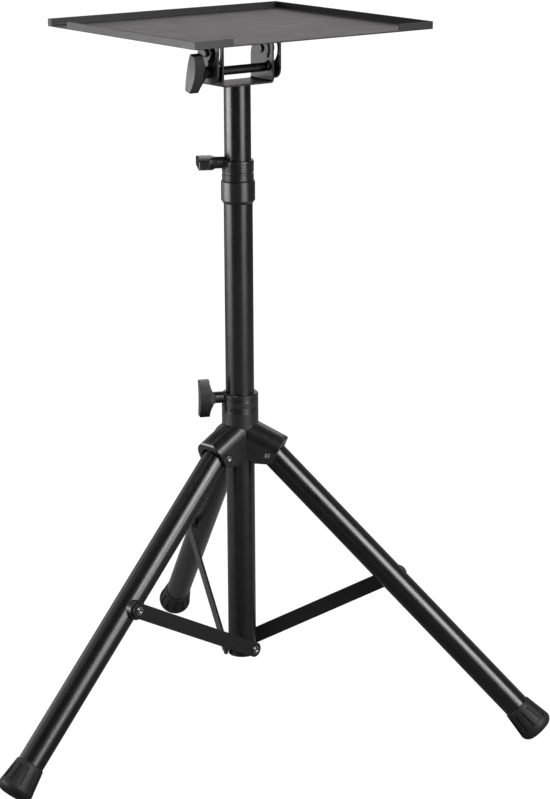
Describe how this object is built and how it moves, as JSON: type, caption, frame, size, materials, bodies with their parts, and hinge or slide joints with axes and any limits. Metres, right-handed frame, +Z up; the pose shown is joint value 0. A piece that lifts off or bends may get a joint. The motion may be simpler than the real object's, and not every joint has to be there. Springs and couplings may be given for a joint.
{
  "type": "folding tripod stand with tray",
  "caption": "Folding tripod stand: a telescopic pole on braced legs with rubber feet carries a flat rimmed tray that tilts and turns to hold a projector or laptop.",
  "frame": {"origin": "on the ground under the axis of the pole", "axes": "+Z up along the pole, +X along the tray's open front edge towards its right end, +Y from the open front edge to the back rim"},
  "size_m": [0.701, 0.7356, 0.9517],
  "materials": {
    "black_steel": "black powder coat",
    "tray_steel": "black powder coat, fine grain",
    "black_plastic": "moulded black",
    "screw_steel": "zinc plated",
    "foot_rubber": "matte black"
  },
  "bodies": {
    "mast": {"main_tube": "black_steel", "tube_plug": "black_plastic", "collar": "black_plastic", "collar_band": "black_plastic", "brace_screw_left": "screw_steel", "brace_screw_right": "screw_steel", "brace_screw_rear": "screw_steel"},
    "hub": {"hub": "black_plastic", "leg_pin_left": "screw_steel", "leg_pin_right": "screw_steel", "leg_pin_rear": "screw_steel"},
    "leg_left": {"leg_left": "black_steel", "foot_left": "foot_rubber", "leg_pad_left": "black_steel"},
    "leg_right": {"leg_right": "black_steel", "foot_right": "foot_rubber", "leg_pad_right": "black_steel"},
    "leg_rear": {"leg_rear": "black_steel", "foot_rear": "foot_rubber", "leg_pad_rear": "black_steel"},
    "brace_left": {"brace_left": "black_steel", "brace_rivet_left": "screw_steel"},
    "brace_right": {"brace_right": "black_steel", "brace_rivet_right": "screw_steel"},
    "brace_rear": {"brace_rear": "black_steel", "brace_rivet_rear": "screw_steel"},
    "glide": {"glide_plug": "black_plastic"},
    "riser": {"riser_tube": "black_steel", "yoke": "black_steel", "tilt_pivot_left": "screw_steel", "tilt_pivot_right": "screw_steel"},
    "tray": {"tray": "tray_steel", "tray_bracket": "black_steel", "tilt_bolt": "screw_steel", "tilt_spacer": "black_plastic"},
    "hub_knob": {"hub_knob": "black_plastic", "hub_screw": "screw_steel"},
    "collar_knob": {"collar_knob": "black_plastic", "collar_screw": "screw_steel"},
    "tilt_knob": {"tilt_knob": "black_plastic"}
  },
  "joints": [
    {"name": "hub_slide", "type": "slide", "parent": "mast", "child": "hub", "axis": [0, 0, 1], "range_m": [0, 0.1914]},
    {"name": "leg_left_fold", "type": "hinge", "parent": "hub", "child": "leg_left", "pos_m": [-0.04241, -0.0071, 0.37917], "axis": [0.165, -0.9863, 0], "range_deg": [0, 43.3]},
    {"name": "brace_left_fold", "type": "hinge", "parent": "mast", "child": "brace_left", "pos_m": [0, 0, 0.09717], "axis": [0.165, -0.9863, 0], "range_deg": [-49.35, 0]},
    {"name": "leg_right_fold", "type": "hinge", "parent": "hub", "child": "leg_right", "pos_m": [0.02735, -0.03318, 0.37917], "axis": [0.7716, 0.6361, 0], "range_deg": [0, 43.3]},
    {"name": "brace_right_fold", "type": "hinge", "parent": "mast", "child": "brace_right", "pos_m": [0, 0, 0.09717], "axis": [0.7716, 0.6361, 0], "range_deg": [-49.35, 0]},
    {"name": "leg_rear_fold", "type": "hinge", "parent": "hub", "child": "leg_rear", "pos_m": [0.01506, 0.04027, 0.37917], "axis": [-0.9367, 0.3502, 0], "range_deg": [0, 43.3]},
    {"name": "brace_rear_fold", "type": "hinge", "parent": "mast", "child": "brace_rear", "pos_m": [0, 0, 0.09717], "axis": [-0.9367, 0.3502, 0], "range_deg": [-49.35, 0]},
    {"name": "hub_knob_turn", "type": "hinge", "parent": "hub", "child": "hub_knob", "pos_m": [-0.02751, 0.01196, 0.45317], "axis": [-0.9171, 0.3987, 0], "continuous": true},
    {"name": "collar_knob_turn", "type": "hinge", "parent": "mast", "child": "collar_knob", "pos_m": [-0.02624, 0.01454, 0.76842], "axis": [-0.8746, 0.4848, 0], "continuous": true},
    {"name": "height_slide", "type": "slide", "parent": "mast", "child": "glide", "axis": [0, 0, 1], "range_m": [-0.06, 0.32]},
    {"name": "top_swivel", "type": "hinge", "parent": "glide", "child": "riser", "pos_m": [0, 0, 0.87062], "axis": [0, 0, 1], "continuous": true},
    {"name": "tray_tilt", "type": "hinge", "parent": "riser", "child": "tray", "pos_m": [0, 0, 0.91292], "axis": [-1, 0, 0], "range_deg": [0, 35]},
    {"name": "tilt_knob_turn", "type": "hinge", "parent": "tray", "child": "tilt_knob", "pos_m": [-0.0478, -0.00295, 0.8889], "axis": [-1, 0, 0], "continuous": true}
  ],
  "couplings": [
    {"joint": "leg_left_fold", "follows": "hub_slide", "rad_per_m": 3.948},
    {"joint": "brace_left_fold", "follows": "hub_slide", "rad_per_m": -4.499},
    {"joint": "leg_right_fold", "follows": "hub_slide", "rad_per_m": 3.948},
    {"joint": "brace_right_fold", "follows": "hub_slide", "rad_per_m": -4.499},
    {"joint": "leg_rear_fold", "follows": "hub_slide", "rad_per_m": 3.948},
    {"joint": "brace_rear_fold", "follows": "hub_slide", "rad_per_m": -4.499}
  ]
}
